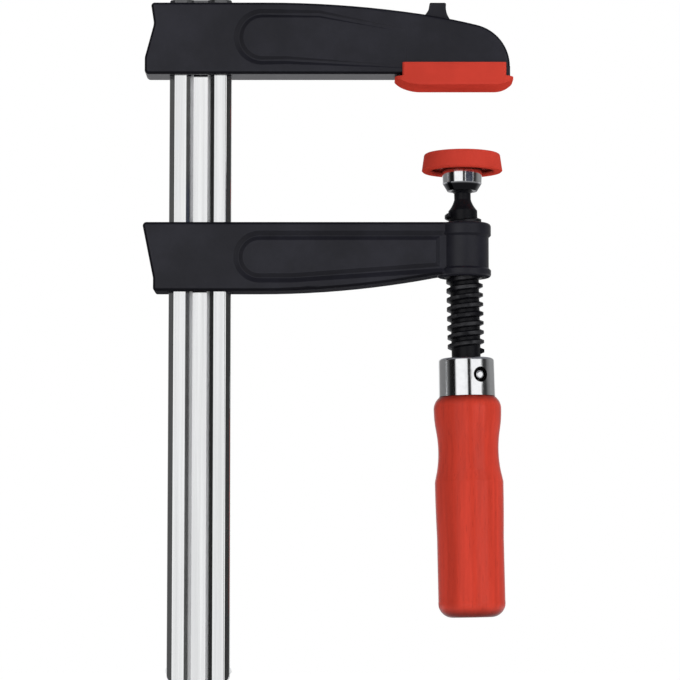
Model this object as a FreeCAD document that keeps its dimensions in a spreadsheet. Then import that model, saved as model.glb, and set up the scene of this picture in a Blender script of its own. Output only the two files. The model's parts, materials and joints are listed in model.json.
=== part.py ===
import FreeCAD, Part

import math
import os

import Sketcher
from FreeCAD import Placement, Rotation, Vector

# A light-duty bar clamp, 200 mm opening by 100 mm throat, drawn in millimetres.
# +X runs from the rail towards the nose, +Z is up the rail, +Y is away from the viewer.
# The origin is the middle of the fixed jaw's face, which looks down.

DRIVING_SIZES = (
    # rail
    ("rail_width", 26.6, "across the rail, along X"),
    ("rail_thick", 11.0, "through the rail, along Y"),
    ("rail_length", 293.0, "whole bar"),
    ("rail_flange", 7.3, "flat band beside each groove"),
    ("rail_slope", 2.9, "sloping wall of a groove, along X"),
    ("rail_groove", 2.1, "depth of the groove in each broad face"),
    ("rail_bevel_wide", 2.3, "bevel along each edge of the rail, along X"),
    ("rail_bevel_deep", 1.9, "the same bevel, along Y"),
    ("rail_edge", 0.8, "rounding of the bevels' edges"),
    ("rail_corner", 3.9, "rounding of the lower end"),
    ("rail_proud", 1.8, "peened end above the fixed arm"),
    ("stake_bump", 0.7, "height of the staked end stops"),
    ("stake_radius", 1.7, "rounding of the staked end stops"),
    ("throat", 95.6, "rail edge to the middle of the fixed jaw"),
    # both arms
    ("arm_thick", 16.6, "casting through Y"),
    ("arm_round", 1.6, "rounding of the casting's edges"),
    ("arm_back", 10.6, "casting behind the rail"),
    ("panel_gap", 3.1, "rail edge to the sunk panel"),
    ("panel_deep", 0.8, "depth of the sunk panel"),
    ("panel_draft", 68.0, "slope of the panel's and plaque's walls, degrees"),
    ("plaque_step", 0.12, "top of the raised plaque under the arm's face"),
    ("plaque_margin", 2.0, "valley between the panel's floor edge and the plaque's top"),
    ("slide_gap", 0.1, "clearance of the sliding arm on the rail, each side"),
    # fixed arm
    ("fixed_rise", 4.9, "jaw face to the underside of the fixed arm"),
    ("fixed_high", 31.2, "depth of the fixed arm beside the rail"),
    ("fixed_rim_top", 4.8, "rim above the sunk panel"),
    ("fixed_rim_low", 5.6, "rim under the sunk panel, near the rail"),
    ("fixed_rim_thin", 2.6, "rim under the sunk panel, at its end"),
    ("nose_reach", 23.9, "jaw middle to the tip of the nose"),
    ("nose_radius", 18.5, "round nose"),
    ("nose_rise", 3.5, "underside up to where the nose starts to round"),
    ("brow_slope", 14.0, "slope of the back where the nose begins, degrees"),
    ("back_slope", 8.5, "slope of the back over the jaw, degrees"),
    ("back_radius", 450.0, "long curve of the back"),
    ("heel_waist", 3.9, "depth of the waist in the back edge"),
    ("heel_drop", 9.2, "top of the arm down to that waist"),
    ("heel_shoulder", 2.5, "back edge's upper corner in from its lower part"),
    ("heel_rise", 7.3, "height of the back edge's straight lower part"),
    ("heel_foot_round", 1.8, "rounding of the back edge's foot"),
    ("heel_back_round", 6.0, "rounding of the back edge's bends"),
    ("heel_top_round", 1.4, "rounding of the back edge's upper corner"),
    ("panel_end", 20.7, "jaw middle back to the end of the sunk panel"),
    ("panel_start_low", 72.0, "jaw middle back to where its lower edge starts to fall"),
    ("panel_fade", 0.57, "rise of the panel's floor towards its end, degrees"),
    ("panel_end_fall", 7.2, "fall of the panel's upper edge at its end"),
    ("panel_back", 58.0, "jaw middle back to where its upper edge starts to fall"),
    ("lug_wide", 7.2, "cast lug on the fixed arm's back, across its top"),
    ("lug_top", 36.9, "jaw face to the top of the lug"),
    ("lug_high", 7.0, "lug's top down to the arm's back"),
    ("lug_back", 30.6, "nose tip back to the middle of the lug"),
    ("lug_deep", 7.0, "lug through Y"),
    ("lug_front_flare", 1.9, "foot of the lug wider than its top, towards the nose"),
    ("lug_back_flare", 3.6, "foot of the lug wider than its top, towards the rail"),
    ("lug_round", 0.9, "rounding of the lug's top"),
    # fixed jaw cap
    ("cap_floor", 2.6, "thickness under the jaw"),
    ("cap_wall", 1.4, "side walls of the cap"),
    ("cap_high", 9.7, "height of the side walls"),
    ("cap_long", 44.5, "length of the side walls"),
    ("cap_lip", 3.15, "how far the floor stands out past the walls' ends"),
    ("cap_sled_back", 20.0, "curl of the floor's end towards the rail"),
    ("cap_sled_back_long", 11.4, "length of that curl"),
    ("cap_sled_nose", 12.0, "curl of the floor's end towards the nose"),
    ("cap_sled_nose_long", 7.8, "length of that curl"),
    ("cap_rim", 3.9, "height of the floor's standing lip"),
    ("cap_corner", 4.3, "rounding of the floor's corners, seen from below"),
    ("cap_wall_round", 1.25, "rounding of the walls' corners"),
    ("cap_slack", 0.05, "clearance at the jaw's nose"),
    # sliding arm
    ("opening", 59.0, "jaw face to the top of the sliding arm as drawn"),
    ("slide_high", 29.6, "depth of the sliding arm beside the rail"),
    ("slide_tip", 22.4, "depth of the sliding arm beside the boss"),
    ("slide_rim_top", 5.9, "rim above the sunk panel"),
    ("slide_rim_low", 5.4, "rim under the sunk panel"),
    ("belly_long", 76.0, "length of the rising underside before the boss"),
    ("heel_lean", 4.85, "how far the back edge leans in towards its foot"),
    ("slide_top_round", 1.6, "rounding of the back edge's upper corner"),
    ("slide_foot_round", 1.3, "rounding of the back edge's foot"),
    ("slide_knee", 74.0, "boss axis back to where the panel's lower edge starts rising"),
    ("slide_rise", 4.6, "rise of the panel's lower edge at the boss"),
    ("slide_plaque", 12.2, "boss axis back to the end of the raised plaque"),
    ("slide_back", 11.35, "sliding arm behind the rail"),
    ("heel_fall", 24.0, "height of the leaning part of its back edge"),
    ("belly_gap", 0.5, "how far the rising underside runs in under the boss"),
    ("boss_radius", 10.75, "waist of the threaded boss"),
    ("boss_rim", 11.7, "rims of the threaded boss"),
    ("boss_high", 23.2, "height of the boss"),
    ("boss_band", 4.0, "height of the lower rim"),
    ("boss_crown", 6.0, "height of the upper rim"),
    ("boss_corner", 1.4, "rounding of each rim"),
    ("bore_bevel", 1.0, "mouth of the bore wider than the thread"),
    ("screw_line", 4.05, "jaw middle to the screw's axis at the boss"),
    ("screw_lean", 1.1, "lean of the screw towards the rail, degrees"),
    # screw
    ("thread_radius", 7.85, "over the crests"),
    ("core_radius", 6.2, "at the thread's roots"),
    ("thread_pitch", 4.0, "single start, right hand"),
    ("crest_wide", 1.3, "flat on the crest"),
    ("root_wide", 1.2, "flat at the root"),
    ("thread_length", 63.0, "crests from end to end"),
    ("thread_stand", 2.6, "thread's end up to the ridge's last crest on the nose side"),
    ("thread_gap", 0.15, "clearance between the screw and the boss"),
    ("thread_bite", 0.4, "how far a ridge's section reaches into the core"),
    ("thread_ease", 0.2, "core's end to the start of the end bevels"),
    ("screw_out", 29.85, "ball centre to the boss centre along the screw"),
    ("ball_radius", 6.2, "ball end of the screw"),
    ("neck_radius", 3.57, "neck under the ball"),
    ("neck_end", 7.8, "ball centre to the end of the straight neck"),
    ("flare_end", 12.6, "ball centre to the start of the thread"),
    ("shank_length", 0.6, "plain shank between the thread and the ferrule"),
    ("tang_radius", 5.0, "tang inside the handle"),
    ("tang_length", 62.0, "tang below the ferrule's top"),
    ("tang_bevel", 1.0, "bevel of the tang's end"),
    # ball seat, pressure plate and its cap
    ("seat_wall", 0.8, "wall of the ball seat"),
    ("ball_gap", 0.06, "running clearance at both spheres"),
    ("seat_drop", 0.8, "seat's rim below the ball centre"),
    ("lip_top", 0.4, "ball centre down to the crimped lip, as a share of the ball's radius"),
    ("lip_end", 0.66, "ball centre down to the lip's lower face, as such a share"),
    ("lip_radius", 6.4, "outside of the lip's lower face"),
    ("cup_radius", 8.4, "outside of the cup at the crimp"),
    ("cup_shoulder", 8.6, "outside of the cup under the plate"),
    ("cup_high", 4.6, "ball centre up to the foot of the plate's hub"),
    ("plate_radius", 15.0, "steel plate"),
    ("plate_low", 6.2, "ball centre up to the plate's underside"),
    ("plate_thick", 4.0, "steel plate"),
    ("plate_bevel", 0.5, "bevels of the plate's rim"),
    ("pad_skin", 1.8, "plastic over the plate"),
    ("pad_top", 16.4, "radius of the pressing face's edge"),
    ("pad_base", 17.3, "radius of the skirt's foot"),
    ("pad_high", 7.7, "height of the plastic cap"),
    ("pad_lip", 13.6, "radius inside the snap lip"),
    ("pad_round", 1.0, "rounding of the pressing face's edge"),
    ("pad_snap", 0.8, "slope of the snap lip"),
    ("pad_bevel", 0.5, "bevels at the skirt's foot"),
    # ferrule, handle and cross pin
    ("ferrule_top", 11.9, "outside radius at its upper end"),
    ("ferrule_foot", 12.05, "outside radius at its lower end"),
    ("ferrule_high", 16.3, "height"),
    ("ferrule_wall", 0.8, "sheet thickness"),
    ("ferrule_round", 1.2, "rounded shoulder"),
    ("handle_long", 93.8, "wood that shows below the ferrule"),
    ("handle_shoulder", 14.4, "radius of the upper swell"),
    ("handle_waist", 12.9, "radius of the waist"),
    ("handle_swell", 14.6, "radius of the lower swell"),
    ("handle_tail", 14.2, "radius of the long tail"),
    ("turn_ease", 0.7, "fall of a swell where the waist's curve begins or ends"),
    ("shoulder_at", 6.0, "ferrule's foot down to the upper swell"),
    ("waist_start", 14.0, "ferrule's foot down to the start of the waist's curve"),
    ("waist_at", 25.4, "ferrule's foot down to the waist"),
    ("waist_end", 31.8, "ferrule's foot down to the end of the waist's curve"),
    ("swell_at", 36.4, "ferrule's foot down to the lower swell"),
    ("tail_at", 60.0, "ferrule's foot down to the straight tail"),
    ("tail_round", 7.0, "rounding of the handle's end, along it"),
    ("tail_ease", 5.8, "rounding of the handle's end, across it"),
    ("pin_radius", 1.9, "cross pin"),
    ("pin_drop", 7.6, "ferrule's top down to the cross pin"),
    ("pin_turn", 28.0, "cross pin's turn from the viewer towards the nose, degrees"),
    ("pin_hole", 3.3, "punched hole in the ferrule round the pin"),
    ("pin_recess", 2.6, "depth of the recess in the wood behind that hole"),
    ("pin_short", 0.3, "pin's end inside the ferrule's outside"),
    ("pin_round", 0.85, "rounding of the pin's ends"),
)

# how far an outline that cuts, or joins two forms, reaches past the face it starts from
OVERCUT = 1.0
# a circle's corner at 45 degrees lies this share of its radius in from the square corner
EASING = 1 - math.sqrt(0.5)

doc = FreeCAD.newDocument("bar_clamp")
sheet = doc.addObject("Spreadsheet::Sheet", "Sizes")
for row, (alias, value, note) in enumerate(DRIVING_SIZES, start=1):
    sheet.set("A%d" % row, alias)
    sheet.set("B%d" % row, str(value))
    sheet.set("C%d" % row, note)
    sheet.setAlias("B%d" % row, alias)
doc.recompute()


class Size:
    """A length or angle that carries both its value and the sheet formula behind it."""

    def __init__(self, value, formula):
        self.value = float(value)
        self.formula = formula

    def __add__(self, other):
        other = as_size(other)
        return Size(self.value + other.value, "(%s + %s)" % (self.formula, other.formula))

    def __sub__(self, other):
        other = as_size(other)
        return Size(self.value - other.value, "(%s - %s)" % (self.formula, other.formula))

    def __mul__(self, other):
        other = as_size(other)
        return Size(self.value * other.value, "(%s * %s)" % (self.formula, other.formula))

    def __truediv__(self, other):
        other = as_size(other)
        return Size(self.value / other.value, "(%s / %s)" % (self.formula, other.formula))

    def __neg__(self):
        return Size(-self.value, "(0 - %s)" % self.formula)

    def __radd__(self, other):
        return as_size(other) + self

    def __rsub__(self, other):
        return as_size(other) - self

    def __rmul__(self, other):
        return as_size(other) * self


def as_size(number):
    """Plain numbers join in with sizes from the sheet."""
    if isinstance(number, Size):
        return number
    return Size(number, repr(float(number)))


def size(alias):
    """The driving size of that name."""
    return Size(sheet.get(alias), "Sizes.%s" % alias)


def root_of(number):
    """Square root of a size."""
    return Size(math.sqrt(number.value), "sqrt(%s)" % number.formula)


def sine(angle):
    """Sine of an angle in degrees."""
    return Size(math.sin(math.radians(angle.value)), "sin(%s)" % angle.formula)


def cosine(angle):
    """Cosine of an angle in degrees."""
    return Size(math.cos(math.radians(angle.value)), "cos(%s)" % angle.formula)


def bind(thing, prop, number):
    """Ties one property to its formula; a plain property starts from the right value."""
    number = as_size(number)
    if "." not in prop:
        setattr(thing, prop, number.value)
    thing.setExpression(prop, number.formula)


def new_body(label, x=0, y=0, z=0, lean=None, turn=None):
    """A body with its own place; lean turns it about Y and turn about Z, in degrees."""
    body = doc.addObject("PartDesign::Body", label)
    body.Label = label
    x = as_size(x)
    y = as_size(y)
    z = as_size(z)
    rotation = Rotation()
    if lean is not None:
        rotation = Rotation(Vector(0, -1, 0), lean.value)
    if turn is not None:
        rotation = rotation.multiply(Rotation(Vector(0, 0, 1), turn.value))
    body.Placement = Placement(Vector(x.value, y.value, z.value), rotation)
    bind(body, "Placement.Base.x", x)
    bind(body, "Placement.Base.y", y)
    bind(body, "Placement.Base.z", z)
    if lean is not None and turn is None:
        bind(body, "Placement.Rotation.Angle", lean)
    return body


def origin_plane(body, role):
    """One of the three planes through the body's own origin."""
    for feature in body.Origin.OriginFeatures:
        if feature.Role == role:
            return feature


def new_sketch(body, name, role, lift=0, swing=None, turn=None):
    """A sketch on an origin plane, lifted along its normal; swing turns it in its plane."""
    sketch = body.newObject("Sketcher::SketchObject", name)
    sketch.AttachmentSupport = [(origin_plane(body, role), "")]
    sketch.MapMode = "FlatFace"
    lift = as_size(lift)
    rotation = Rotation()
    if swing is not None:
        rotation = Rotation(Vector(0, 0, 1), swing.value)
    if turn is not None:
        rotation = Rotation(Vector(0, 1, 0), turn.value)
    sketch.AttachmentOffset = Placement(Vector(0, 0, lift.value), rotation)
    bind(sketch, "AttachmentOffset.Base.z", lift)
    if swing is not None:
        bind(sketch, "AttachmentOffset.Rotation.Angle", swing)
    if turn is not None:
        bind(sketch, "AttachmentOffset.Rotation.Angle", turn)
    return sketch


def tie(sketch, kind, geometry, point, number):
    """Holds one coordinate of a point at its formula, measured from the sketch's origin."""
    number = as_size(number)
    index = sketch.addConstraint(Sketcher.Constraint(kind, -1, 1, geometry, point, number.value))
    sketch.setExpression("Constraints[%d]" % index, number.formula)


def close_outline(sketch, corners):
    """Joins the corners with lines, or with an arc where a corner names a point to pass through."""
    count = len(corners)
    spots = [tuple(as_size(c) for c in corner[:2]) for corner in corners]
    edges = []
    for i, corner in enumerate(corners):
        start = Vector(spots[i][0].value, spots[i][1].value, 0)
        after = spots[(i + 1) % count]
        end = Vector(after[0].value, after[1].value, 0)
        if len(corner) == 2:
            edges.append((sketch.addGeometry(Part.LineSegment(start, end), False), 1, 2))
            continue
        via = tuple(as_size(c) for c in corner[2])
        middle = Vector(via[0].value, via[1].value, 0)
        clockwise = (middle - start).cross(end - middle).z < 0
        arc = Part.Arc(end, middle, start) if clockwise else Part.Arc(start, middle, end)
        curve = sketch.addGeometry(arc, False)
        edges.append((curve, 2, 1) if clockwise else (curve, 1, 2))
        mark = sketch.addGeometry(Part.Point(middle), True)
        tie(sketch, "DistanceX", mark, 1, via[0])
        tie(sketch, "DistanceY", mark, 1, via[1])
        sketch.addConstraint(Sketcher.Constraint("PointOnObject", mark, 1, curve))
    for i, (edge, first, last) in enumerate(edges):
        follower, next_first, _ = edges[(i + 1) % count]
        sketch.addConstraint(Sketcher.Constraint("Coincident", edge, last, follower, next_first))
        tie(sketch, "DistanceX", edge, first, spots[i][0])
        tie(sketch, "DistanceY", edge, first, spots[i][1])


def draw_circle(sketch, x, y, radius):
    """A circle held at its middle and radius."""
    x = as_size(x)
    y = as_size(y)
    radius = as_size(radius)
    ring = Part.Circle(Vector(x.value, y.value, 0), Vector(0, 0, 1), radius.value)
    circle = sketch.addGeometry(ring, False)
    tie(sketch, "DistanceX", circle, 3, x)
    tie(sketch, "DistanceY", circle, 3, y)
    index = sketch.addConstraint(Sketcher.Constraint("Radius", circle, radius.value))
    sketch.setExpression("Constraints[%d]" % index, radius.formula)


def bend(x, z, heading, radius, sweep):
    """Middle and end of an arc that carries on from a point; a negative radius and sweep turn right."""
    x = as_size(x)
    z = as_size(z)
    heading = as_size(heading)
    half = heading + as_size(sweep) / 2
    full = heading + as_size(sweep)
    middle = (x + radius * (sine(half) - sine(heading)), z + radius * (cosine(heading) - cosine(half)))
    end = (x + radius * (sine(full) - sine(heading)), z + radius * (cosine(heading) - cosine(full)))
    return middle, end


def on_sphere(radius, latitude):
    """Point of a sphere's outline at a latitude in degrees."""
    angle = as_size(latitude)
    return radius * cosine(angle), radius * sine(angle)


def box_corners(x0, y0, x1, y1):
    """Corners of an upright rectangle between two opposite ones."""
    return [(x0, y0), (x1, y0), (x1, y1), (x0, y1)]


def rounded_box(x0, y0, x1, y1, radius):
    """Outline of an upright rectangle with four round corners."""
    easing = radius * EASING
    return [
        (x0 + radius, y0),
        (x1 - radius, y0, (x1 - easing, y0 + easing)),
        (x1, y0 + radius),
        (x1, y1 - radius, (x1 - easing, y1 - easing)),
        (x1 - radius, y1),
        (x0 + radius, y1, (x0 + easing, y1 - easing)),
        (x0, y1 - radius),
        (x0, y0 + radius, (x0 + easing, y0 + easing)),
    ]


def sled(radius, length):
    """Height at the end and at the middle of an underside that curls up from level ground."""
    full = radius - root_of(radius * radius - length * length)
    half = radius - root_of(radius * radius - length * length / 4)
    return full, half


def pad(body, name, sketch, length, middle=False, flip=False, draft=None):
    """Adds the sketch's outline, to one side or to both alike; draft widens it on its way."""
    feature = body.newObject("PartDesign::Pad", name)
    feature.Profile = sketch
    feature.SideType = "Symmetric" if middle else "One side"
    feature.Reversed = flip
    bind(feature, "Length", length)
    if draft is not None:
        bind(feature, "TaperAngle", draft)
    doc.recompute()
    return feature


def pocket(body, name, sketch, length, middle=False, flip=False, draft=None):
    """Cuts the sketch's outline out, and makes sure that it cuts; draft widens it on its way."""
    before = body.Shape.Volume
    feature = body.newObject("PartDesign::Pocket", name)
    feature.Profile = sketch
    feature.SideType = "Symmetric" if middle else "One side"
    feature.Reversed = flip
    bind(feature, "Length", length)
    if draft is not None:
        bind(feature, "TaperAngle", draft)
    doc.recompute()
    if not body.Shape.Volume < before - 0.01:
        raise ValueError("%s cuts nothing" % name)
    return feature


def turned(body, name, corners, kind="PartDesign::Revolution"):
    """A turned form: corners are (radius, height) about the body's own Z axis."""
    sketch = new_sketch(body, name + "_outline", "XZ_Plane")
    close_outline(sketch, corners)
    feature = body.newObject(kind, name)
    feature.Profile = sketch
    feature.ReferenceAxis = (sketch, ["V_Axis"])
    feature.Angle = 360
    doc.recompute()
    return feature


def edges_where(shape, test):
    """Names of the edges whose middle point and end points pass a test."""
    names = []
    for number, edge in enumerate(shape.Edges, start=1):
        middle = edge.valueAt((edge.FirstParameter + edge.LastParameter) / 2)
        ends = [vertex.Point for vertex in edge.Vertexes]
        if test(middle, ends):
            names.append("Edge%d" % number)
    return names


def round_edges(body, name, radius, test):
    """Rounds the edges of the body's tip that pass a test, given in the body's own frame."""
    base = body.Tip
    shape = base.Shape
    names = edges_where(shape, test)
    if not names:
        raise ValueError("%s finds no edges" % name)
    feature = body.newObject("PartDesign::Fillet", name)
    feature.Base = (base, names)
    bind(feature, "Radius", radius)
    doc.recompute()
    if "Invalid" in feature.State:
        raise ValueError("%s can't be rounded" % name)
    return feature


def near(a, b, slack=0.01):
    """Whether two lengths agree."""
    return abs(a - b) < slack


# shared places, all worked out from the driving sizes
rail_line = -(size("throat") + size("rail_width") / 2)
rail_top = size("fixed_rise") + size("fixed_high") + size("rail_proud")
rail_foot = rail_top - size("rail_length")
arm_heel = -(size("throat") + size("rail_width") + size("arm_back"))
panel_start = -(size("throat") - size("panel_gap"))
boss_middle = -(size("opening") + size("boss_high") / 2)
ball_x = size("screw_line") - size("screw_out") * sine(size("screw_lean"))
ball_z = boss_middle + size("screw_out") * cosine(size("screw_lean"))
thread_end = size("flare_end") + size("thread_length")
ferrule_line = thread_end + size("shank_length")
pin_line = ferrule_line + size("pin_drop")
pin_heading = size("pin_turn") - 90


def make_rail():
    """Rolled bar with a shallow groove down each broad face and a staked lower end."""
    body = new_body("rail", x=rail_line)
    half = size("rail_width") / 2
    face = size("rail_thick") / 2
    lip = half - size("rail_flange")
    web = lip - size("rail_slope")
    floor = face - size("rail_groove")
    shelf = half - size("rail_bevel_wide")
    side = face - size("rail_bevel_deep")
    turn = size("rail_corner")
    easing = turn * EASING
    outline = new_sketch(body, "rail_outline", "XZ_Plane")
    close_outline(outline, [
        (half, rail_top),
        (-half, rail_top),
        (-half, rail_foot + turn, (-half + easing, rail_foot + easing)),
        (-half + turn, rail_foot),
        (half - turn, rail_foot, (half - easing, rail_foot + easing)),
        (half, rail_foot + turn),
    ])
    pad(body, "rail_bar", outline, size("rail_thick"), middle=True)
    quarter = [(half, side), (shelf, face), (lip, face), (web, floor)]
    corners = quarter + [(-x, y) for x, y in reversed(quarter)]
    corners += [(-x, -y) for x, y in quarter] + [(x, -y) for x, y in reversed(quarter)]
    section = new_sketch(body, "rail_section", "XY_Plane", lift=rail_foot - OVERCUT)
    close_outline(section, corners)
    close_outline(section, box_corners(-half - OVERCUT, -face - OVERCUT, half + OVERCUT, face + OVERCUT))
    pocket(body, "rail_rolling", section, size("rail_length") + OVERCUT * 2, flip=True)
    round_edges(body, "rail_long_edges", size("rail_edge"), lambda m, ends: all(
        near(abs(end.x), half.value) and near(abs(end.y), side.value) or
        near(abs(end.x), shelf.value) and near(abs(end.y), face.value) for end in ends))
    bumps = new_sketch(body, "stake_outline", "XZ_Plane")
    bump_radius = size("stake_radius")
    bump_line = rail_foot + turn + bump_radius
    for sign in (-1, 1):
        draw_circle(bumps, sign * (half + size("stake_bump") - bump_radius), bump_line, bump_radius)
    pad(body, "stakes", bumps, face, middle=True)
    return body


def rail_slot(body, gap, x_line, low, high):
    """Cuts the plain rectangular slot that the rail passes through."""
    half = size("rail_width") / 2 + gap
    face = size("rail_thick") / 2 + gap
    sketch = new_sketch(body, body.Label + "_slot_outline", "XY_Plane", lift=low)
    close_outline(sketch, box_corners(x_line - half, -face, x_line + half, face))
    pocket(body, body.Label + "_slot", sketch, high - low, flip=True)


def sunk_panel(body, floor_corners, plaque_corners, fade=None):
    """Sinks a panel with sloping walls into both broad faces and leaves a plaque standing in it.

    The corners are those of the panel's floor and of the plaque's top. With fade, the floor
    rises towards +X, so the panel runs out.
    """
    name = body.Label
    face = size("arm_thick") / 2
    floor = face - size("panel_deep")
    if fade is not None:
        floor = floor - panel_start * sine(fade) / cosine(fade)
    crown = face - size("plaque_step")
    draft = size("panel_draft")
    for side, sign in (("near", 1), ("far", -1)):
        turn = None if fade is None else fade * -sign
        sketch = new_sketch(body, "%s_panel_%s" % (name, side), "XZ_Plane", lift=sign * floor, turn=turn)
        close_outline(sketch, floor_corners)
        cut = size("panel_deep") + OVERCUT
        pocket(body, "%s_sink_%s" % (name, side), sketch, cut, flip=sign > 0, draft=draft)
        raised = new_sketch(body, "%s_plaque_%s" % (name, side), "XZ_Plane", lift=sign * crown)
        close_outline(raised, plaque_corners)
        pad(body, "%s_raise_%s" % (name, side), raised, size("panel_deep") * 1.2, flip=sign > 0, draft=draft)


def round_corner(body, name, radius, x, z):
    """Rounds the through-going corner of a flat casting at one place of its outline."""
    x = as_size(x).value
    z = as_size(z).value
    round_edges(body, name, radius, lambda m, ends: near(m.x, x) and near(m.z, z) and near(m.y, 0))


def soften_casting(body, radius):
    """Rounds the outline of a casting on both broad faces."""
    face = size("arm_thick").value / 2
    round_edges(body, body.Label + "_soft", radius, lambda m, ends: near(abs(m.y), face))


def add_lug(body, x, foot):
    """Adds the small cast lug that stands on the fixed arm's back."""
    half = size("lug_wide") / 2
    top = size("lug_top")
    high = size("lug_high")
    front = size("lug_front_flare")
    back = size("lug_back_flare")
    sketch = new_sketch(body, "lug_outline", "XZ_Plane")
    close_outline(sketch, [
        (x - half - back, foot),
        (x + half + front, foot),
        (x + half + front * 0.65, top - high, (x + half + front * 0.1, top - high * 0.7)),
        (x + half, top),
        (x - half, top),
        (x - half - back * 0.15, top - high * 0.45, (x - half - back * 0.4, top - high * 0.67)),
        (x - half - back, top - high * 0.95),
    ])
    pad(body, "lug", sketch, size("lug_deep"), middle=True)
    round_edges(body, "lug_soft", size("lug_round"), lambda m, ends: near(m.z, top.value))


def make_fixed_arm():
    """Cast upper arm, pressed on to the rail, with the jaw's foot under its nose."""
    body = new_body("fixed_arm")
    low = size("fixed_rise")
    top = low + size("fixed_high")
    foot = size("cap_floor")
    nose = size("nose_reach")
    heel = arm_heel
    back_slope = size("back_slope")
    brow_slope = size("brow_slope")
    nose_radius = size("nose_radius")
    nose_foot = low + size("nose_rise")
    brow_x = nose - nose_radius * (1 - sine(brow_slope))
    brow_z = nose_foot + nose_radius * cosine(brow_slope)
    crown = top - size("back_radius") * (1 - cosine(back_slope))
    brow_radius = (crown - brow_z) / (cosine(back_slope) - cosine(brow_slope))
    crown_x = brow_x - brow_radius * (sine(brow_slope) - sine(back_slope))
    back_x = crown_x - size("back_radius") * sine(back_slope)
    back_mid, back_end = bend(back_x, top, 0, -size("back_radius"), -back_slope)
    brow_mid, brow_end = bend(back_end[0], back_end[1], -back_slope, -brow_radius, back_slope - brow_slope)
    nose_mid, nose_end = bend(brow_end[0], brow_end[1], -brow_slope, -nose_radius, brow_slope - 90)
    waist_x = heel + size("heel_waist")
    waist_z = top - size("heel_drop")
    shoulder_x = heel + size("heel_shoulder")
    corners = [
        (heel, low),
        (nose_end[0], low),
        (nose_end[0], nose_foot, nose_mid),
        (brow_end[0], brow_end[1], brow_mid),
        (back_end[0], back_end[1], back_mid),
        (back_x, top),
        (shoulder_x, top),
        (waist_x, waist_z),
        (heel, low + size("heel_rise")),
    ]
    sketch = new_sketch(body, "fixed_arm_outline", "XZ_Plane")
    close_outline(sketch, corners)
    pad(body, "fixed_arm_casting", sketch, size("arm_thick"), middle=True)
    round_corner(body, "fixed_heel_foot", size("heel_foot_round"), heel, low)
    round_corner(body, "fixed_heel_back", size("heel_back_round"), heel, low + size("heel_rise"))
    round_corner(body, "fixed_heel_waist", size("heel_back_round"), waist_x, waist_z)
    round_corner(body, "fixed_heel_top", size("heel_top_round"), shoulder_x, top)
    soften_casting(body, size("arm_round"))
    add_lug(body, nose - size("lug_back"), brow_z)
    jaw_start = -(size("cap_long") / 2 - size("cap_wall"))
    block = new_sketch(body, "jaw_foot_outline", "XZ_Plane")
    close_outline(block, box_corners(jaw_start, foot, nose, low + size("arm_round") * 2))
    pad(body, "jaw_foot", block, size("arm_thick"), middle=True)
    panel_low = low + size("fixed_rim_low")
    panel_top = top - size("fixed_rim_top")
    panel_mid = (panel_low + panel_top) / 2
    bulge = (panel_top - panel_low) / 2
    thin = low + size("fixed_rim_thin")
    end = -size("panel_end")
    fall_low = -size("panel_start_low")
    fall_top = -size("panel_back")
    end_top = panel_top - size("panel_end_fall")
    panel = [
        (panel_start + bulge, panel_low),
        (fall_low, panel_low),
        (end, thin),
        (end, end_top),
        (fall_top, panel_top),
        (panel_start + bulge, panel_top, (panel_start, panel_mid)),
    ]
    rim = size("plaque_margin")
    plaque = [
        (panel_start + bulge, panel_low + rim),
        (fall_low, panel_low + rim),
        (end - rim / 2, thin + rim / 2),
        (end - rim / 2, end_top - rim / 2),
        (fall_top, panel_top - rim),
        (panel_start + bulge, panel_top - rim, (panel_start + rim, panel_mid)),
    ]
    sunk_panel(body, panel, plaque, fade=size("panel_fade"))
    rail_slot(body, 0, rail_line, low - OVERCUT, rail_top + OVERCUT)
    return body


def make_fixed_jaw_cap():
    """Moulded slip-on cap over the jaw's foot: a floor with a standing lip and three low walls."""
    body = new_body("fixed_jaw_cap")
    wall = size("cap_wall")
    inner = size("arm_thick") / 2
    outer = inner + wall
    half = size("cap_long") / 2
    lip = half + size("cap_lip")
    floor = size("cap_floor")
    rim = size("cap_rim")
    base = new_sketch(body, "cap_base_outline", "XZ_Plane")
    back_rise, back_sag = sled(size("cap_sled_back"), size("cap_sled_back_long"))
    nose_rise, nose_sag = sled(size("cap_sled_nose"), size("cap_sled_nose_long"))
    close_outline(base, [
        (-lip, rim),
        (-lip, back_rise, (-lip + size("cap_sled_back_long") / 2, back_sag)),
        (-lip + size("cap_sled_back_long"), 0),
        (lip - size("cap_sled_nose_long"), 0, (lip - size("cap_sled_nose_long") / 2, nose_sag)),
        (lip, nose_rise),
        (lip, rim),
    ])
    pad(body, "cap_base", base, outer * 2, middle=True)
    plan = new_sketch(body, "cap_plan_outline", "XY_Plane")
    close_outline(plan, rounded_box(-lip, -outer, lip, outer, size("cap_corner")))
    close_outline(plan, box_corners(-lip - OVERCUT, -outer - OVERCUT, lip + OVERCUT, outer + OVERCUT))
    pocket(body, "cap_plan", plan, rim, flip=True)
    walls = new_sketch(body, "cap_wall_outline", "XY_Plane", lift=rim)
    close_outline(walls, rounded_box(-half, -outer, half, outer, size("cap_wall_round")))
    pad(body, "cap_walls", walls, size("cap_high") - rim)
    room = new_sketch(body, "cap_room_outline", "XY_Plane", lift=floor)
    close_outline(room, box_corners(-half + wall, -inner, size("nose_reach") + size("cap_slack"), inner))
    pocket(body, "cap_room", room, size("cap_high"), flip=True)
    gate = new_sketch(body, "cap_gate_outline", "XY_Plane", lift=size("fixed_rise"))
    close_outline(gate, box_corners(-half - OVERCUT, -inner, 0, inner))
    pocket(body, "cap_gate", gate, size("cap_high"), flip=True)
    return body


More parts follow.
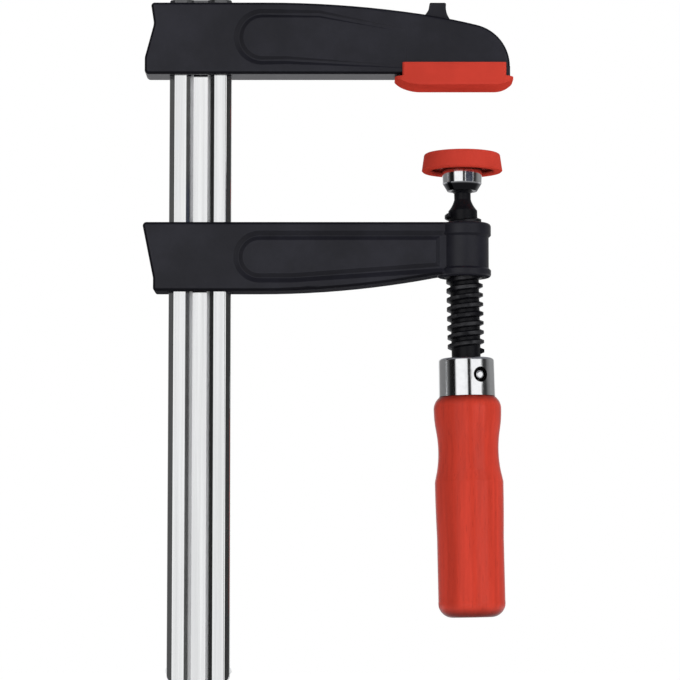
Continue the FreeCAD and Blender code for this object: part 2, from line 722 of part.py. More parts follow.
def make_sliding_arm():
    """Cast lower arm: a slot that grips the rail and a threaded boss at its tip."""
    x0 = size("screw_line")
    body = new_body("sliding_arm", x=x0, z=boss_middle)
    top = size("boss_high") / 2
    low = top - size("slide_high")
    tip = top - size("slide_tip")
    heel = -(size("throat") + size("rail_width") + size("slide_back")) - x0
    start = panel_start - x0
    lean_in = heel + size("heel_lean")
    inside = size("boss_radius") / 3
    rise = size("slide_high") - size("slide_tip")
    long = size("belly_long")
    belly = (long * long + rise * rise) / (2 * rise)
    belly_end = size("belly_gap") - size("boss_rim")
    belly_sag = belly - root_of(belly * belly - long * long / 4)
    corners = [
        (lean_in, low),
        (belly_end - long, low, (belly_end - long / 2, low + belly_sag)),
        (belly_end, tip),
        (inside, tip),
        (inside, top),
        (heel, top),
        (lean_in, top - size("heel_fall")),
    ]
    sketch = new_sketch(body, "sliding_arm_outline", "XZ_Plane")
    close_outline(sketch, corners)
    pad(body, "sliding_arm_casting", sketch, size("arm_thick"), middle=True)
    round_corner(body, "slide_heel_top", size("slide_top_round"), heel, top)
    round_corner(body, "slide_heel_foot", size("slide_foot_round"), lean_in, low)
    soften_casting(body, size("arm_round"))
    panel_low = low + size("slide_rim_low")
    panel_top = top - size("slide_rim_top")
    panel_mid = (panel_low + panel_top) / 2
    bulge = (panel_top - panel_low) / 2
    end = -size("boss_radius") / 2
    knee = -size("slide_knee")
    shelf = panel_low + size("slide_rise")
    panel = [
        (start + bulge, panel_low),
        (knee, panel_low),
        (end, shelf),
        (end, panel_top),
        (start + bulge, panel_top, (start, panel_mid)),
    ]
    rim = size("plaque_margin")
    stop = -size("slide_plaque")
    plaque = [
        (start + bulge, panel_low + rim),
        (knee, panel_low + rim),
        (stop, shelf + rim),
        (stop, panel_top - rim),
        (start + bulge, panel_top - rim, (start + rim, panel_mid)),
    ]
    sunk_panel(body, panel, plaque)
    rail_slot(body, size("slide_gap"), rail_line - x0, low - OVERCUT, top + OVERCUT)
    band = size("boss_band")
    crown = size("boss_crown")
    rim_radius = size("boss_rim")
    waist = size("boss_radius")
    step = rim_radius - waist
    corner = size("boss_corner")
    easing = corner * EASING
    turned(body, "boss", [
        (0, -top),
        (rim_radius - corner, -top, (rim_radius - easing, -top + easing)),
        (rim_radius, -top + corner),
        (rim_radius, -top + band - step),
        (waist, -top + band),
        (waist, top - crown),
        (rim_radius, top - crown + step),
        (rim_radius, top - corner, (rim_radius - easing, top - easing)),
        (rim_radius - corner, top),
        (0, top),
    ])
    lean = size("screw_lean")
    bore = new_sketch(body, "bore_outline", "XZ_Plane", swing=lean)
    hole = size("core_radius") + size("thread_gap")
    reach = size("boss_high")
    mouth = size("thread_radius") + size("bore_bevel")
    close_outline(bore, [
        (0, -reach),
        (mouth + OVERCUT, -reach),
        (mouth + OVERCUT, -top - OVERCUT),
        (hole, -top + mouth - hole),
        (hole, top - mouth + hole),
        (mouth + OVERCUT, top + OVERCUT),
        (mouth + OVERCUT, reach),
        (0, reach),
    ])
    cut = body.newObject("PartDesign::Groove", "bore")
    cut.Profile = bore
    cut.ReferenceAxis = (bore, ["V_Axis"])
    cut.Angle = 360
    doc.recompute()
    cut_thread(body, bore_side=True)
    return body


def thread_section(grow, inward, outward):
    """Corners of one thread ridge about its own middle: grow widens it, in and out deepen it."""
    depth = size("thread_radius") - size("core_radius")
    crest = size("crest_wide") / 2
    root = (size("thread_pitch") - size("root_wide")) / 2
    slope = (root - crest) / depth
    inner = size("core_radius") - inward
    outer = size("thread_radius") + outward
    wide = root + grow + slope * inward
    slim = crest + grow - slope * outward
    return inner, outer, wide, slim


def cut_thread(body, bore_side):
    """Winds the screw's thread; on the bore side it is a little fuller and is cut away."""
    lean = size("screw_lean")
    gap = size("thread_gap")
    bite = size("thread_bite")
    last = size("thread_stand") - thread_end
    height = size("thread_length") - size("thread_stand") - size("thread_pitch") / 2
    if bore_side:
        inner, outer, wide, slim = thread_section(gap, bite, gap)
        sketch = new_sketch(body, "nut_thread_outline", "XZ_Plane", swing=lean)
        last = last + size("screw_out")
        kind = "PartDesign::SubtractiveHelix"
        name = "nut_thread"
    else:
        inner, outer, wide, slim = thread_section(0, bite, 0)
        sketch = new_sketch(body, "thread_outline", "XZ_Plane")
        kind = "PartDesign::AdditiveHelix"
        name = "thread"
    close_outline(sketch, [
        (inner, last - wide),
        (outer, last - slim),
        (outer, last + slim),
        (inner, last + wide),
    ])
    helix = body.newObject(kind, name)
    helix.Profile = sketch
    helix.ReferenceAxis = (sketch, ["V_Axis"])
    helix.Mode = "pitch-height-angle"
    bind(helix, "Pitch", size("thread_pitch"))
    bind(helix, "Height", height)
    helix.LeftHanded = False
    doc.recompute()
    return helix


def screw_body(label, turn=None):
    """A body on the screw's leaning axis, with its origin at the ball's centre."""
    return new_body(label, x=ball_x, z=ball_z, lean=size("screw_lean"), turn=turn)


def level_body(label):
    """An upright body with its origin at the ball's centre."""
    return new_body(label, x=ball_x, z=ball_z)


def make_spindle():
    """Forged screw: ball end, neck, right-hand thread, plain shank and the tang in the handle."""
    body = screw_body("spindle")
    ball = size("ball_radius")
    neck = size("neck_radius")
    core = size("core_radius")
    tang = size("tang_radius")
    meet = -root_of(ball * ball - neck * neck)
    flare = -size("flare_end")
    calm = -size("neck_end")
    bottom = -(ferrule_line + size("tang_length"))
    turned(body, "spindle_core", [
        (0, bottom),
        (tang - size("tang_bevel"), bottom),
        (tang, bottom + size("tang_bevel")),
        (tang, -(ferrule_line + size("ferrule_wall"))),
        (core, -(ferrule_line + size("ferrule_wall"))),
        (core, flare, (neck + (core - neck) * 0.36, (flare + calm) / 2)),
        (neck, calm),
        (neck, meet, (ball, 0)),
        (0, ball),
    ])
    cut_thread(body, bore_side=False)
    crest = size("thread_radius")
    past = size("thread_pitch") * 1.5
    ease = size("thread_ease")
    for name, foot, way in (("thread_start", flare, 1), ("thread_runout", -thread_end, -1)):
        turned(body, name, [
            (core, foot + way * past),
            (core, foot - way * ease),
            (crest + OVERCUT, foot - way * (crest - core + ease + OVERCUT)),
            (crest + OVERCUT, foot + way * past),
        ], kind="PartDesign::Groove")
    cross = new_sketch(body, "cross_hole_outline", "YZ_Plane", turn=pin_heading)
    draw_circle(cross, 0, -pin_line, size("pin_radius"))
    pocket(body, "cross_hole", cross, tang * 4, middle=True)
    return body


def make_ball_seat():
    """Half shell in which the ball turns; it rides up and down with the screw and never spins."""
    body = level_body("ball_seat")
    inner = size("ball_radius") + size("ball_gap")
    outer = inner + size("seat_wall")
    drop = -size("seat_drop")
    turned(body, "ball_seat_shell", [
        (0, inner, on_sphere(inner, 45)),
        (root_of(inner * inner - drop * drop), drop),
        (root_of(outer * outer - drop * drop), drop, on_sphere(outer, 45)),
        (0, outer),
    ])
    return body


def make_pressure_plate():
    """Steel plate with the cup that is crimped round the ball and its seat."""
    body = level_body("pressure_plate")
    ball = size("ball_radius") + size("ball_gap")
    socket = ball + size("seat_wall") + size("ball_gap")
    low = size("plate_low")
    top = low + size("plate_thick")
    lip_top = -size("lip_top") * size("ball_radius")
    lip_end = -size("lip_end") * size("ball_radius")
    crimp = -size("seat_drop")
    lip_hole = root_of(ball * ball - lip_end * lip_end)
    edge = size("plate_radius")
    bevel = size("plate_bevel")
    shoulder = size("cup_shoulder")
    turned(body, "pressure_plate_blank", [
        (0, socket, on_sphere(socket, 45)),
        (root_of(socket * socket - lip_top * lip_top), lip_top),
        (root_of(ball * ball - lip_top * lip_top), lip_top, on_sphere(ball, -30)),
        (lip_hole, lip_end),
        (size("lip_radius"), lip_end),
        (size("cup_radius"), crimp, (shoulder - (shoulder - size("cup_radius")) / 3, size("cup_high") / 2)),
        (shoulder, size("cup_high")),
        (shoulder, low),
        (edge - bevel, low),
        (edge, low + bevel),
        (edge, top - bevel),
        (edge - bevel, top),
        (0, top),
    ])
    return body


def make_pressure_plate_cap():
    """Moulded plastic cap snapped over the steel plate."""
    body = level_body("pressure_plate_cap")
    low = size("plate_low")
    top = low + size("plate_thick")
    face = top + size("pad_skin")
    foot = face - size("pad_high")
    edge = size("plate_radius")
    crown = size("pad_round")
    easing = crown * EASING
    bevel = size("pad_bevel")
    turned(body, "pressure_plate_cap_shell", [
        (0, top),
        (edge, top),
        (edge, low),
        (size("pad_lip"), low - size("pad_snap")),
        (size("pad_lip"), foot + bevel),
        (size("pad_lip") + bevel, foot),
        (size("pad_base") - bevel, foot),
        (size("pad_base"), foot + bevel),
        (size("pad_top"), face - crown, (size("pad_top") - easing, face - easing)),
        (size("pad_top") - crown, face),
        (0, face),
    ])
    return body


def make_ferrule():
    """Drawn steel ferrule that closes over the handle's neck, punched for the cross pin."""
    body = screw_body("ferrule", turn=pin_heading)
    top = -ferrule_line
    foot = top - size("ferrule_high")
    wall = size("ferrule_wall")
    outer_top = size("ferrule_top")
    outer_foot = size("ferrule_foot")
    bend_radius = size("ferrule_round")
    easing = bend_radius * EASING
    turned(body, "ferrule_shell", [
        (size("core_radius"), top),
        (outer_top - bend_radius, top, (outer_top - easing, top - easing)),
        (outer_top, top - bend_radius),
        (outer_foot, foot),
        (outer_foot - wall, foot),
        (outer_top - wall, top - wall),
        (size("core_radius"), top - wall),
    ])
    hole = new_sketch(body, "ferrule_hole_outline", "YZ_Plane")
    draw_circle(hole, 0, -pin_line, size("pin_hole"))
    pocket(body, "ferrule_hole", hole, outer_foot * 3, middle=True)
    return body


def make_handle():
    """Turned wooden handle: neck inside the ferrule, swell, waist, second swell and long tail."""
    body = screw_body("handle", turn=pin_heading)
    wall = size("ferrule_wall")
    neck_top = -(ferrule_line + wall)
    top = -(ferrule_line + size("ferrule_high"))
    foot = top - size("handle_long")
    tang = size("tang_radius")
    deep = -(ferrule_line + size("tang_length"))
    shoulder = size("handle_shoulder")
    waist = size("handle_waist")
    swell = size("handle_swell")
    tail = size("handle_tail")
    ease = size("turn_ease")
    end_high = size("tail_round")
    end_wide = size("tail_ease")
    crown_middle = (size("shoulder_at") + size("waist_start")) / 2
    belly_middle = (size("waist_end") + size("swell_at")) / 2
    tail_third = (size("swell_at") * 2 + size("tail_at")) / 3
    turned(body, "handle_wood", [
        (tang, neck_top),
        (size("ferrule_top") - wall, neck_top),
        (size("ferrule_foot") - wall, top),
        (size("ferrule_foot") - wall / 2, top, (shoulder - ease * 1.3, top - size("shoulder_at") / 3)),
        (shoulder, top - size("shoulder_at"), (shoulder - ease / 4, top - crown_middle)),
        (shoulder - ease, top - size("waist_start"), (waist, top - size("waist_at"))),
        (waist + ease, top - size("waist_end"), (swell - ease * 0.7, top - belly_middle)),
        (swell, top - size("swell_at"), (swell - (swell - tail) / 9, top - tail_third)),
        (tail, top - size("tail_at")),
        (tail, foot + end_high, (tail - end_wide * 0.3, foot + end_high / 4)),
        (tail - end_wide, foot),
        (0, foot),
        (0, deep - size("tang_bevel")),
        (tang, deep),
    ])
    hole = new_sketch(body, "handle_hole_outline", "YZ_Plane")
    draw_circle(hole, 0, -pin_line, size("pin_radius"))
    pocket(body, "handle_hole", hole, size("ferrule_foot") * 3, middle=True)
    inner = size("ferrule_top") - wall - size("pin_recess")
    for name, sign in (("near", 1), ("far", -1)):
        recess = new_sketch(body, "handle_recess_outline_%s" % name, "YZ_Plane", lift=sign * inner)
        draw_circle(recess, 0, -pin_line, size("pin_hole"))
        pocket(body, "handle_recess_%s" % name, recess, size("ferrule_foot"), flip=sign > 0)
    return body


def make_handle_pin():
    """Round-ended cross pin through ferrule, wood and tang."""
    body = screw_body("handle_pin", turn=pin_heading)
    reach = size("ferrule_top") - size("pin_short")
    radius = size("pin_radius")
    ring = new_sketch(body, "handle_pin_outline", "YZ_Plane", lift=-reach)
    draw_circle(ring, 0, -pin_line, radius)
    pad(body, "handle_pin_rod", ring, reach * 2)
    round_edges(body, "handle_pin_ends", size("pin_round"), lambda m, ends: near(abs(m.x), reach.value))
    return body


MAKERS = (
    make_rail,
    make_fixed_arm,
    make_fixed_jaw_cap,
    make_sliding_arm,
    make_spindle,
    make_ball_seat,
    make_pressure_plate,
    make_pressure_plate_cap,
    make_ferrule,
    make_handle,
    make_handle_pin,
)


def main():
    """Builds every piece, checks it, and writes one file for each."""
    bodies = [maker() for maker in MAKERS]
    doc.recompute()
    for thing in doc.Objects:
        if "Invalid" in thing.State or "Error" in thing.State:
            raise ValueError("%s has failed" % thing.Label)
    for body in bodies:
        if body.Shape.isNull() or not body.Shape.isValid():
            raise ValueError("%s has no sound shape" % body.Label)
    os.makedirs("parts", exist_ok=True)
    for body in bodies:
        body.Shape.exportStep("parts/%s.step" % body.Label)
        print(body.Label, round(body.Shape.Volume, 1), "mm3 in", len(body.Shape.Solids), "solid")


main()
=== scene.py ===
"""Looks of a small bar clamp: finishes for its pieces and a plain studio round it."""

import json
import math

import bpy
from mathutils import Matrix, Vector


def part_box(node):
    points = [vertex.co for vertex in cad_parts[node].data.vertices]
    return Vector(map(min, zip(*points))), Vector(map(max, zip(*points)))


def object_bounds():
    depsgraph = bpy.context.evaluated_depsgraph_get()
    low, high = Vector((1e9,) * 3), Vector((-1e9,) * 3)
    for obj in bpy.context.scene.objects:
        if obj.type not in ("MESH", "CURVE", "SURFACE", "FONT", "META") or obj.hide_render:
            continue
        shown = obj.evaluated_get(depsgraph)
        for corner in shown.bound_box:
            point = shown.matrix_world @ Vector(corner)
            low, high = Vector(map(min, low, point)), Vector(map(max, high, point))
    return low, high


bl_info = {
    "name": "Bar clamp",
    "version": (1, 0, 0),
    "blender": (4, 5, 0),
    "location": "3D View > Sidebar > Clamp",
    "description": "Finishes the pieces of a bar clamp and sets it in a plain studio",
    "category": "Object",
}

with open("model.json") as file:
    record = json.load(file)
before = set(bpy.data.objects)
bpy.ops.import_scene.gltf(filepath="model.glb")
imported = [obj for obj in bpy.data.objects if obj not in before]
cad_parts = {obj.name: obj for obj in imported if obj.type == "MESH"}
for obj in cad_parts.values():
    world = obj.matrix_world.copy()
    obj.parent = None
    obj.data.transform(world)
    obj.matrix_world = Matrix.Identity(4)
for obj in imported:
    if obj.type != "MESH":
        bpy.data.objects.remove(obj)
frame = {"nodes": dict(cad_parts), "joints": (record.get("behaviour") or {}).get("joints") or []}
NODES = frame["nodes"]
CAD_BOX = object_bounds()

JOINTS = {joint["name"]: joint for joint in frame["joints"]}
SCREW_AXIS = Vector(JOINTS["screw_turn"]["axis"]).normalized()
BALL = Vector(JOINTS["screw_turn"]["pos_m"])
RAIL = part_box("rail")
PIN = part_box("handle_pin")

# Turns the cross pin's axis on to X.
PIN_TURN = math.radians(62)

# Where one look gives way to the next, in metres: where the soft step begins and where it ends.
ARM_GAP = (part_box("sliding_arm")[1].z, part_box("fixed_arm")[0].z)
PEENED_END = (RAIL[1].z - 0.0019, RAIL[1].z - 0.0017)
GROOVE_FOOT = (0.0029, 0.0032)
GROOVE_WALL = (0.0034, 0.0048)
BOSS_SIDE = (-0.0060, -0.0045)
PANEL_RUN_OUT = (-0.060, -0.024)
THREAD_CREST = (0.00735, 0.0077)
# Heights of the band on the crimped cup where shade is painted dark.
CRIMP_SHADE_FOOT = (-0.0060, -0.0050)
CRIMP_SHADE_TOP = (-0.0016, -0.0004)
# Radii round the cross pin inside which shade is painted dark on the handle.
PIN_SHADE_RADII = (0.0034, 0.0036)


class Wire:
    """A socket that gives a value; arithmetic on it adds the Math nodes."""

    def __init__(self, finish, socket):
        self.finish = finish
        self.socket = socket

    def _math(self, operation, *values):
        settings = {"operation": operation}
        return self.finish.node("ShaderNodeMath", settings, dict(enumerate(values)))

    def __add__(self, other):
        return self._math("ADD", self, other)

    def __radd__(self, other):
        return self._math("ADD", other, self)

    def __sub__(self, other):
        return self._math("SUBTRACT", self, other)

    def __rsub__(self, other):
        return self._math("SUBTRACT", other, self)

    def __mul__(self, other):
        return self._math("MULTIPLY", self, other)

    def __rmul__(self, other):
        return self._math("MULTIPLY", other, self)

    def __truediv__(self, other):
        return self._math("DIVIDE", self, other)

    def __pow__(self, other):
        return self._math("POWER", self, other)

    def __abs__(self):
        return self._math("ABSOLUTE", self)

    def above(self, low, high):
        """0 under low, 1 over high, and a soft step between them."""
        settings = {"interpolation_type": "SMOOTHSTEP"}
        return self.finish.node("ShaderNodeMapRange", settings, {0: self, 1: low, 2: high})

    def swing(self, width):
        """A pattern from 0 to 1 as a change to either side of nothing, of the given width."""
        return (self - 0.5) * width

    def angle_from(self, other):
        return self._math("ARCTAN2", self, other)


class Finish:
    """A node tree being wired: a material's or the world's."""

    def __init__(self, holder):
        holder.use_nodes = True
        self.holder = holder
        self.tree = holder.node_tree
        self.tree.nodes.clear()

    def node(self, kind, settings, values, output=0):
        """Adds one node, first with its settings, then with the values or wires of its sockets."""
        made = self.tree.nodes.new(kind)
        for name, value in settings.items():
            if name == "stops":
                self._fill_ramp(made.color_ramp, value)
            else:
                setattr(made, name, value)
        for key, value in values.items():
            if isinstance(value, Wire):
                self.tree.links.new(value.socket, made.inputs[key])
            else:
                made.inputs[key].default_value = value
        return Wire(self, made.outputs[output]) if made.outputs else None

    @staticmethod
    def _fill_ramp(ramp, stops):
        while len(ramp.elements) < len(stops):
            ramp.elements.new(1.0)
        for element, (place, level) in zip(ramp.elements, stops):
            element.position = place
            element.color = (level, level, level, 1.0)

    def place(self, scale=(1, 1, 1), middle=(0, 0, 0), turn=(0, 0, 0)):
        """Object coordinates, moved, turned and scaled for one pattern."""
        here = self.node("ShaderNodeTexCoord", {}, {}, output="Object")
        moved = self.node("ShaderNodeVectorMath", {"operation": "SUBTRACT"}, {0: here, 1: middle})
        values = {"Vector": moved, "Rotation": turn, "Scale": scale}
        return self.node("ShaderNodeMapping", {}, values)

    def parts(self, vector):
        """The three numbers of a vector."""
        made = self.node("ShaderNodeSeparateXYZ", {}, {0: vector})
        sockets = made.socket.node.outputs
        return tuple(Wire(self, sockets[axis]) for axis in "XYZ")

    def facing(self):
        """The three numbers of the surface's own direction, in the object's axes."""
        return self.parts(self.node("ShaderNodeTexCoord", {}, {}, output="Normal"))

    def ray(self, kind):
        """1 for light rays of this kind and 0 for the others."""
        return self.node("ShaderNodeLightPath", {}, {}, output=kind)

    def noise(self, vector, scale, detail=2.0, roughness=0.5):
        values = {"Vector": vector, "Scale": scale, "Detail": detail, "Roughness": roughness}
        return self.node("ShaderNodeTexNoise", {}, values)

    def blend(self, factor, first, second):
        """Goes from the first colour to the second one."""
        settings = {"data_type": "RGBA"}
        return self.node("ShaderNodeMix", settings, {0: factor, 6: first, 7: second}, output=2)

    def bump(self, height, depth, strength=1.0, under=None):
        """Relief of the given depth in metres, on top of other relief."""
        values = {"Height": height, "Distance": depth, "Strength": strength}
        if under is not None:
            values["Normal"] = under
        return self.node("ShaderNodeBump", {}, values)

    def glow(self, colour, strength):
        return self.node("ShaderNodeEmission", {}, {"Color": colour, "Strength": strength})

    def backdrop(self, colour, strength):
        return self.node("ShaderNodeBackground", {}, {"Color": colour, "Strength": strength})

    def either(self, factor, first, second):
        """Goes from the first shader to the second one."""
        return self.node("ShaderNodeMixShader", {}, {0: factor, 1: first, 2: second})

    def surface(self, values):
        """Ends a material in one glossy or matt surface."""
        self.end(self.node("ShaderNodeBsdfPrincipled", {}, values))

    def end(self, shader):
        """Ends a material in a shader."""
        self.node("ShaderNodeOutputMaterial", {}, {"Surface": shader})


def new_finish(name):
    return Finish(bpy.data.materials.new(name))


def paint(nodes, finish):
    """Gives CAD nodes one finish."""
    for name in nodes:
        piece = NODES[name]
        piece.data.materials.clear()
        piece.data.materials.append(finish.holder)


def rgba(colour, share=1.0):
    """A colour with its alpha, darkened or lightened by a share."""
    return tuple(min(1.0, channel * share) for channel in colour[:3]) + (1.0,)


WHITE = rgba((1, 1, 1))


class ClampColours(bpy.types.PropertyGroup):
    """Colours of the clamp's finishes, as light."""

    steel: bpy.props.FloatVectorProperty(
        name="Rail steel", description="Zinc-plated rail", subtype="COLOR",
        default=(0.93, 0.94, 0.95), min=0, max=1)
    casting: bpy.props.FloatVectorProperty(
        name="Castings", description="Enamel on both arms", subtype="COLOR",
        default=(0.0080, 0.0080, 0.0128), min=0, max=1)
    plastic: bpy.props.FloatVectorProperty(
        name="Caps", description="Moulded plastic of both caps", subtype="COLOR",
        default=(0.445, 0.038, 0.024), min=0, max=1)
    screw: bpy.props.FloatVectorProperty(
        name="Screw", description="Blackened steel of the screw", subtype="COLOR",
        default=(0.0045, 0.0045, 0.0060), min=0, max=1)
    plating: bpy.props.FloatVectorProperty(
        name="Plating", description="Bright plate on the ferrule and pressure plate",
        subtype="COLOR", default=(0.93, 0.94, 0.955), min=0, max=1)
    lacquer: bpy.props.FloatVectorProperty(
        name="Handle", description="Lacquered wood of the handle", subtype="COLOR",
        default=(0.50, 0.039, 0.021), min=0, max=1)


class ClampStage(bpy.types.PropertyGroup):
    """Camera and studio."""

    eye: bpy.props.FloatVectorProperty(
        name="Camera", description="Where the camera stands", subtype="TRANSLATION",
        unit="LENGTH", default=(-0.049, -1.204, -0.2202))
    pitch: bpy.props.FloatProperty(
        name="Pitch", description="How far the camera looks up", subtype="ANGLE",
        default=math.radians(5.279))
    lens: bpy.props.FloatProperty(
        name="Lens", description="Focal length in millimetres for a 36 mm sensor",
        default=149.7, min=10)
    floor_drop: bpy.props.FloatProperty(
        name="Floor", description="Gap between the floor and the handle at its lowest",
        subtype="DISTANCE", unit="LENGTH", default=0.004, min=0)


class CLAMP_OT_finish_rail(bpy.types.Operator):
    """Plated rail with fine draw lines along it and a dull peened end"""

    bl_idname = "clamp.finish_rail"
    bl_label = "Finish the rail"

    def execute(self, context):
        colour = context.scene.clamp_colours.steel
        steel = new_finish("Zinc_plated_rail")
        along = steel.place(scale=(1.0, 1.0, 0.012))
        lines = steel.noise(along, scale=2600.0, detail=3.0)
        streaks = steel.noise(along, scale=420.0, detail=1.0)
        bloom = steel.noise(steel.place(), scale=55.0, detail=4.0, roughness=0.6)
        tone = streaks.swing(1.1) + lines.swing(0.5) + bloom.swing(0.3) + 0.5
        base = steel.blend(tone.above(0.1, 0.9), rgba(colour, 0.84), rgba(colour, 1.06))
        middle = (RAIL[0].x + RAIL[1].x) / 2
        across, _, height = steel.parts(steel.place(middle=(middle, 0, 0)))
        peened = height.above(*PEENED_END)
        off_middle = abs(across)
        foot = off_middle.above(*GROOVE_FOOT) * (1.0 - off_middle.above(*GROOVE_WALL))
        steel.surface({
            "Base Color": steel.blend(peened * 0.85, base, rgba((0.085, 0.085, 0.092))),
            "Metallic": 1.0,
            "Roughness": 0.11 + bloom.swing(0.08) + lines.swing(0.06) + peened * 0.3 + foot * 0.5,
            "Normal": steel.bump(lines, depth=0.000012, strength=0.6),
        })
        paint(["rail"], steel)
        return {"FINISHED"}


class CLAMP_OT_finish_arms(bpy.types.Operator):
    """Black enamel over the cast skin of both arms, with shade painted into its colour on the
    roundings and valley walls, which also get less coat
    """

    bl_idname = "clamp.finish_arms"
    bl_label = "Finish the arms"

    def execute(self, context):
        colour = context.scene.clamp_colours.casting
        enamel = new_finish("Black_enamel_casting")
        here = enamel.place()
        skin = enamel.noise(here, scale=900.0, detail=3.0, roughness=0.55)
        swell = enamel.noise(here, scale=160.0, detail=2.0)
        patches = enamel.noise(here, scale=45.0, detail=4.0, roughness=0.65)
        base = enamel.blend(patches.above(0.35, 0.75), rgba(colour, 0.85), rgba(colour, 1.3))
        relief = enamel.bump(swell, depth=0.00012, strength=0.35)
        relief = enamel.bump(skin, depth=0.00005, strength=0.5, under=relief)
        painted_shade, underside = self.shade_and_underside(enamel, here)
        polish = (1.0 - painted_shade) * (1.0 - underside)
        enamel.surface({
            # Painted shade: the enamel is darkened on its roundings and valley walls.
            "Base Color": enamel.blend(painted_shade * 0.6, base, rgba(colour, 0.15)),
            "Roughness": 0.44 + patches.swing(0.25) + skin.swing(0.10) + underside * 0.5,
            "Normal": relief,
            "Specular IOR Level": 0.10,
            "Coat Weight": (0.54 + patches.swing(0.3)) * polish,
            "Coat Roughness": 0.42,
        })
        paint(["fixed_arm", "sliding_arm"], enamel)
        return {"FINISHED"}

    @staticmethod
    def shade_and_underside(enamel, here):
        """Masks of the painted shade on both arms' roundings and valley walls, and of the sliding
        arm's underside.
        """
        _, through, up = enamel.facing()
        broad = abs(through)
        across, _, height = enamel.parts(here)
        upper_arm = height.above(*ARM_GAP)
        lower_arm = 1.0 - upper_arm
        boss = lower_arm * across.above(*BOSS_SIDE)
        run_out = upper_arm * broad.above(0.87, 0.90) * across.above(*PANEL_RUN_OUT)
        slanted = (1.0 - broad.above(0.86, 0.985)) * broad.above(0.05, 0.30)
        # Painted shade mask: sloping walls and roundings, leaving out the boss and the panel's
        # run-out.
        painted_shade = slanted * (1.0 - boss) * (1.0 - run_out)
        underside = (up * -1.0).above(0.6, 0.8) * lower_arm
        return painted_shade, underside


class CLAMP_OT_finish_caps(bpy.types.Operator):
    """Soft red plastic of the jaw cap and the pressure plate's cap"""

    bl_idname = "clamp.finish_caps"
    bl_label = "Finish the plastic caps"

    def execute(self, context):
        colour = context.scene.clamp_colours.plastic
        plastic = new_finish("Red_moulded_plastic")
        here = plastic.place()
        grain = plastic.noise(here, scale=2200.0, detail=2.0)
        cloud = plastic.noise(here, scale=70.0, detail=3.0)
        _, _, up = plastic.facing()
        underside = (up * -1.0).above(0.4, 0.7)
        plastic.surface({
            "Base Color": plastic.blend(
                cloud.above(0.3, 0.7), rgba(colour, 0.93), rgba(colour, 1.06)),
            "Roughness": 0.52 + cloud.swing(0.16),
            "Normal": plastic.bump(grain, depth=0.00002, strength=0.4),
            "Specular IOR Level": 0.0,
            "Coat Weight": 0.12 * (1.0 - underside),
            "Coat Roughness": 0.45,
        })
        paint(["fixed_jaw_cap", "pressure_plate_cap"], plastic)
        return {"FINISHED"}


class CLAMP_OT_finish_screw(bpy.types.Operator):
    """Blackened and oiled screw, a little brighter on its crests"""

    bl_idname = "clamp.finish_screw"
    bl_label = "Finish the screw"

    def execute(self, context):
        colour = context.scene.clamp_colours.screw
        steel = new_finish("Black_oxide_screw")
        lean = math.atan2(SCREW_AXIS.x, SCREW_AXIS.z)
        across, depth, _ = steel.parts(steel.place(middle=tuple(BALL), turn=(0, -lean, 0)))
        radius = (across * across + depth * depth) ** 0.5
        here = steel.place()
        speckle = steel.noise(here, scale=1300.0, detail=3.0)
        patches = steel.noise(here, scale=140.0, detail=3.0)
        worn = radius.above(*THREAD_CREST) * patches.above(0.40, 0.62)
        steel.surface({
            "Base Color": steel.blend(worn, rgba(colour), rgba((0.05, 0.05, 0.054))),
            "Metallic": worn * 0.7,
            "Roughness": 0.36 + patches.swing(0.22) + speckle.swing(0.12),
            "Normal": steel.bump(speckle, depth=0.00003, strength=0.5),
            "Specular IOR Level": 0.16,
        })
        paint(["spindle"], steel)
        return {"FINISHED"}


class CLAMP_OT_finish_plating(bpy.types.Operator):
    """Bright plating of the pressure plate, the ferrule and the cross pin, with shade painted dark
    on the cup's crimp
    """

    bl_idname = "clamp.finish_plating"
    bl_label = "Finish the plated pieces"

    def execute(self, context):
        colour = context.scene.clamp_colours.plating
        plate = new_finish("Bright_plating")
        here = plate.place()
        ripple = plate.noise(here, scale=210.0, detail=1.0)
        haze = plate.noise(here, scale=420.0, detail=3.0)
        bright = plate.blend(haze.above(0.3, 0.8), rgba(colour), rgba(colour, 0.92))
        _, _, height = plate.parts(plate.place(middle=tuple(BALL)))
        # Painted shade: a dark band round the crimped cup under the pressure plate, set by height.
        painted_crimp_shade = height.above(*CRIMP_SHADE_FOOT) * (1.0 - height.above(*CRIMP_SHADE_TOP))
        plate.surface({
            "Base Color": plate.blend(painted_crimp_shade, bright, rgba((0.020, 0.020, 0.022))),
            "Metallic": 1.0,
            "Roughness": 0.075 + haze * 0.07,
            "Normal": plate.bump(ripple, depth=0.00003, strength=0.35),
        })
        paint(["pressure_plate", "ferrule", "handle_pin"], plate)
        return {"FINISHED"}


class CLAMP_OT_finish_seat(bpy.types.Operator):
    """Greased steel of the hidden seat round the ball"""

    bl_idname = "clamp.finish_seat"
    bl_label = "Finish the seat"

    def execute(self, context):
        seat = new_finish("Greased_seat_steel")
        smear = seat.noise(seat.place(), scale=300.0, detail=3.0)
        seat.surface({
            "Base Color": seat.blend(smear, rgba((0.50, 0.50, 0.51)), rgba((0.62, 0.62, 0.63))),
            "Metallic": 1.0,
            "Roughness": 0.25 + smear * 0.2,
        })
        paint(["ball_seat"], seat)
        return {"FINISHED"}


